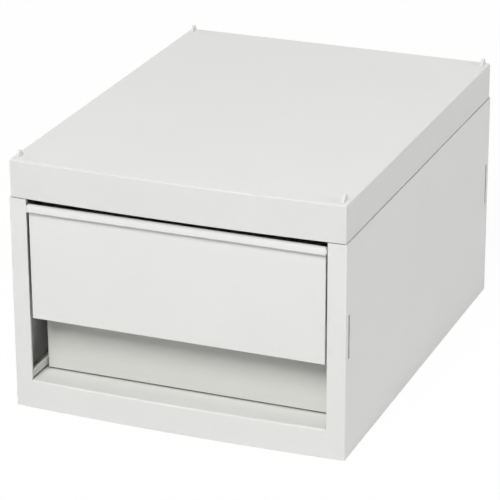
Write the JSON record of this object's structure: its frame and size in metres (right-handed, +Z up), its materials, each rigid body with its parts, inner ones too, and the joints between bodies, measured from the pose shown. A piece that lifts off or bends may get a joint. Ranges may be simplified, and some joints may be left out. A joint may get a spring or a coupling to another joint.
{
  "type": "stackable drawer case",
  "caption": "Light-grey moulded plastic case with a deep pull-out drawer, a hooded pull panel over a finger opening, and pegs on its lid for stacking.",
  "frame": {"origin": "on the ground under the middle of the case", "axes": "+Z up, +Y from the drawer's front towards the back, +X to the right seen from the front"},
  "size_m": [0.34, 0.45, 0.2617],
  "materials": {
    "case_plastic": "satin moulded",
    "lid_plastic": "satin moulded",
    "tray_plastic": "satin moulded",
    "front_plastic": "satin moulded",
    "rail_plastic": "smooth, slippery",
    "screw_steel": "zinc plated",
    "stop_plastic": "satin moulded"
  },
  "bodies": {
    "case": {"case_body": "case_plastic", "lid": "lid_plastic", "left_guide_rail": "rail_plastic", "right_guide_rail": "rail_plastic", "left_rail_screws": "screw_steel", "right_rail_screws": "screw_steel"},
    "drawer": {"drawer_tray": "tray_plastic", "drawer_front": "front_plastic", "drawer_front_screws": "screw_steel", "left_drawer_stop": "stop_plastic", "right_drawer_stop": "stop_plastic"}
  },
  "joints": [
    {"name": "drawer_slide", "type": "slide", "parent": "case", "child": "drawer", "axis": [0, -1, 0], "range_m": [0, 0.34]}
  ]
}
